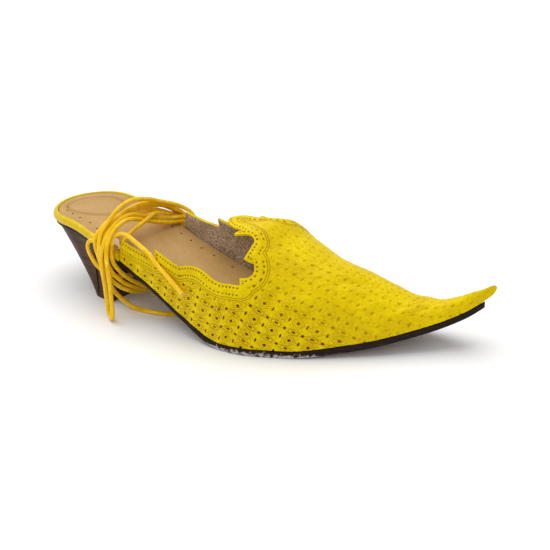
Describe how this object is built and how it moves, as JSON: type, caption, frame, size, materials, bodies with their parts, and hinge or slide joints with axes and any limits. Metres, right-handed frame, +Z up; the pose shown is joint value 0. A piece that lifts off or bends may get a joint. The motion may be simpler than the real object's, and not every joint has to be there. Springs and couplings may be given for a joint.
{
  "type": "leather slipper",
  "caption": "Backless pointed leather slipper with a low raked heel, a curled toe, a leaf-shaped collar and a thin lace wound round its waist.",
  "frame": {"origin": "on the floor, under the middle of the shoe's box without its lace", "axes": "+X to the toe, +Y to the inner side of the foot, +Z up"},
  "size_m": [0.2734, 0.0942, 0.0608],
  "materials": {
    "yellow_leather": "dyed lemon yellow, satin, punched and embossed",
    "lace_leather": "golden yellow, polished",
    "insole_leather": "natural tan, smooth and matte",
    "sole_leather": "dark brown edge, scuffed",
    "heel_stack": "stacked brown layers, waxed"
  },
  "bodies": {
    "root": {"outsole": "sole_leather", "heel": "heel_stack", "insole": "insole_leather", "heel_rand": "yellow_leather", "upper": "yellow_leather", "lace_coil": "lace_leather", "lace_end": "lace_leather", "lace_hanging_loop": "lace_leather", "lace_low_loop": "lace_leather", "lace_heel_loop": "lace_leather"}
  },
  "joints": []
}
